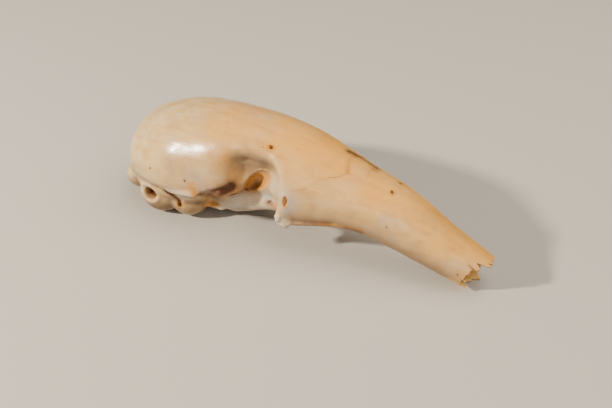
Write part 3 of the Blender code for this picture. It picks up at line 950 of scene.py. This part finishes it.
def makeBone():
    material = bpy.data.materials.new("bone")
    material.use_nodes = True
    tree = material.node_tree
    add = partial(node, tree)
    smooth = {"interpolation_type": "SMOOTHSTEP"}
    shader = tree.nodes["Principled BSDF"]
    place = add("VectorMath", {0: add("TexCoord")["Object"], 3: 1000.0}, operation="SCALE")[0]
    source = {"x": add("SeparateXYZ", (place,))[0]}
    source["up"] = add("SeparateXYZ", (add("NewGeometry")["Normal"],))[2]
    for name, (stretch, size, detail, rough, distort) in boneLook["noise"].items():
        where = add("VectorMath", (place, (stretch, 1.0, 1.0)), operation="MULTIPLY")[0]
        source[name] = add("TexNoise", {
            "Vector": where, "Scale": 1 / size, "Detail": detail, "Roughness": rough, "Distortion": distort,
        })["Fac"]
    amount = {}
    for name, (read, low, high, toLow, toHigh) in boneLook["amounts"].items():
        amount[name] = add("MapRange", (source[read], low, high, toLow, toHigh), **smooth)[0]

    def both(one, two):
        return add("Math", (one, two), operation="MULTIPLY", use_clamp=True)[0]

    def patch(name):
        return add("Attribute", attribute_name=name)["Fac"]

    # The tone along the skull, moved to and fro by the clouds
    drift = boneLook["alongDrift"]
    shifted = add("Math", (source["cloudy"], drift, source["x"]), operation="MULTIPLY_ADD")[0]
    stops = boneLook["along"]
    first, last = stops[0][0], stops[-1][0]
    along = add("MapRange", (shifted, first + drift / 2, last + drift / 2, 0.0, 1.0))[0]
    ramp = add("ValToRGB", (along,))[0].node
    ramp.color_ramp.elements[0].color = colour(stops[0][1])
    ramp.color_ramp.elements[1].color = colour(stops[-1][1])
    for x, code in stops[1:-1]:
        ramp.color_ramp.elements.new((x - first) / (last - first)).color = colour(code)

    # Orange stains have ragged edges
    stain = boneLook["stain"]
    ragged = add("Math", (source["patchy"], stain["ragged"], patch("orange")), operation="MULTIPLY_ADD")[0]
    orange = add("MapRange", (ragged, *stain["edge"]), **smooth)[0]

    # Seams: a thin brown line with a faint halo where a signed distance crosses zero, wavering
    line = boneLook["seamLine"]
    waver = line["waver"]
    offset = add("Math", (source["wavering"], waver, -waver / 2), operation="MULTIPLY_ADD")[0]
    nearest = 99.0
    for name in seamSets:
        for away in add("SeparateXYZ", (add("Attribute", attribute_name=name)["Vector"],)):
            off = add("Math", (add("Math", (away, offset), operation="ADD")[0],), operation="ABSOLUTE")[0]
            nearest = add("Math", (nearest, off), operation="MINIMUM")[0]
    halo = add("MapRange", (nearest, *line["halo"]), **smooth)[0]
    seam = both(add("MapRange", (nearest, *line["line"]), **smooth)[0], amount["seam"])
    # brown: real stains together with painted shade in crevices and under ridges
    stainAndPaintedShade = both(patch("brown"), amount["brown"])

    # Pores: sparse brown specks, about a fifth of a millimetre
    pores = boneLook["pores"]
    cells = add("TexVoronoi", {"Vector": place, "Scale": 1 / pores["apart"], "Randomness": 1.0})
    draw = add("SeparateXYZ", (cells["Color"],))[0]
    chosen = add("MapRange", (draw, *pores["chosen"]), **smooth)[0]
    pore = both(add("MapRange", (cells["Distance"], *pores["hole"]), **smooth)[0], chosen)

    # Each tone is laid over the ones before it
    look = ramp.outputs[0]
    for share, tone in (
        (amount["cloud"], "cloud"),
        (amount["ashen"], "ashen"),
        (amount["milky"], "milky"),
        # painted light: faces turned up and ahead take the golden orange, in clouds
        (both(both(amount["facingUp"], amount["ahead"]), amount["warm"]), "top"),
        (amount["fibres"], "cloud"),
        # painted shade on faces turned down
        (amount["under"], "under"),
        (both(patch("pale"), amount["pale"]), "pale"),
        # painted shade in the hollows and on the lower flanks
        (both(patch("paintedGreyShade"), amount["paintedGreyShade"]), "paintedGreyShade"),
        # painted light inside the broken end of the snout
        (patch("paintedLight"), "paintedLight"),
        (both(orange, amount["orange"]), "orange"),
        (halo, "orange"),
        (seam, "seam"),
        # brown stains, and painted shade in crevices and under ridges
        (stainAndPaintedShade, "brown"),
        (both(pore, boneLook["poreTone"]), "seam"),
    ):
        look = add("MixRGB", (share, look, colour(boneLook[tone])))[0]

    matt = add("Math", (amount["roughness"], amount["roughnessAhead"]), operation="ADD")[0]
    matt = add("Math", (matt, both(stainAndPaintedShade, boneLook["stainAndPaintedShadeMatt"])), operation="MAXIMUM")[0]
    source |= {"seam": seam, "pore": pore}
    height = 0.0
    for name, share in boneLook["bump"].items():
        height = add("Math", (source[name], share, height), operation="MULTIPLY_ADD")[0]
    bump = add("Bump", {"Height": height, **boneLook["relief"]})[0]

    tree.links.new(look, shader.inputs["Base Color"])
    tree.links.new(matt, shader.inputs["Roughness"])
    tree.links.new(bump, shader.inputs["Normal"])
    for key, value in boneLook["wax"].items():
        shader.inputs[key].default_value = value
    return material


# Painted board, even and matt, so that it shows only the skull's shadow
table = {"size": 6.0, "colour": "CBC8C2", "roughness": 0.75}


def makeTable():
    half = table["size"] / 2
    mesh = bpy.data.meshes.new("table")
    corners = [(-half, -half, 0), (half, -half, 0), (half, half, 0), (-half, half, 0)]
    mesh.from_pydata(corners, [], [(0, 1, 2, 3)])
    floor = bpy.data.objects.new("table", mesh)
    bpy.context.scene.collection.objects.link(floor)
    material = bpy.data.materials.new("paintedBoard")
    material.use_nodes = True
    shader = material.node_tree.nodes["Principled BSDF"]
    shader.inputs["Base Color"].default_value = colour(table["colour"])
    shader.inputs["Roughness"].default_value = table["roughness"]
    mesh.materials.append(material)


# Soft lamps: direction from the skull, distance and size in metres, watts, colour
lamps = {
    "key": ((-0.623, -0.651, 0.47), 0.75, 0.055, 9.8, "FFEFD8"),
    "over": ((0.42, 0.28, 0.9), 0.85, 1.0, 7.6, "FFF0DA"),
    "fill": ((0.8, -0.5, 0.45), 0.95, 0.7, 2.2, "FFF6EC"),
}


lampsMeet = (0, 0, 0.015)  # the point that all lamps face, in metres


# The wall behind looks pale and gives little light
sky = {"colour": "F2F1EE", "light": 0.16, "seen": 0.62}


def makeLamps():
    for name, (way, distance, size, watts, tint) in lamps.items():
        data = bpy.data.lights.new(name, "AREA")
        data.shape = "DISK"
        data.size = size
        data.energy = watts
        data.color = colour(tint)[:3]
        lamp = bpy.data.objects.new(name, data)
        way = np.array(way) / np.linalg.norm(way)
        lamp.matrix_world = looking(way * distance + lampsMeet, way)
        bpy.context.scene.collection.objects.link(lamp)
    backdrop = bpy.data.worlds.new("sky")
    backdrop.use_nodes = True
    tree = backdrop.node_tree
    background = tree.nodes["Background"]
    background.inputs[0].default_value = colour(sky["colour"])
    seen = node(tree, "LightPath")["Is Camera Ray"]
    strength = node(tree, "MapRange", {0: seen, 3: sky["light"], 4: sky["seen"]})[0]
    tree.links.new(strength, background.inputs[1])
    bpy.context.scene.world = backdrop


# Placed at a point with its back towards away, upright
def looking(point, away):
    away = np.array(away) / np.linalg.norm(away)
    right = np.cross((0, 0, 1), away)
    right /= np.linalg.norm(right)
    columns = np.array([right, np.cross(away, right), away, point])
    return Matrix([*columns.T.tolist(), (0, 0, 0, 1)])


# The photograph's view: 34 degrees above the table, 30 degrees round towards the snout
view = {
    "turn": 30, "rise": 34, "distance": 0.3, "target": (0.001, 0, 0.00944), "lens": 55.82, "sensor": 36,
    "nearest": 0.01,
}


def makeCamera():
    turn, rise = math.radians(view["turn"]), math.radians(view["rise"])
    away = np.array([math.cos(rise) * math.sin(turn), -math.cos(rise) * math.cos(turn), math.sin(rise)])
    data = bpy.data.cameras.new("camera")
    data.sensor_width = view["sensor"]
    data.lens = view["lens"]
    data.clip_start = view["nearest"]
    camera = bpy.data.objects.new("camera", data)
    camera.matrix_world = looking(np.array(view["target"]) + away * view["distance"], away)
    bpy.context.scene.collection.objects.link(camera)
    bpy.context.scene.camera = camera


makeCamera()
makeLamps()
makeTable()
skull = makeSkull()
markSkull(skull.data)
skull.data.materials.clear()
skull.data.materials.append(makeBone())
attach(skull, "root")
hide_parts("cranium")
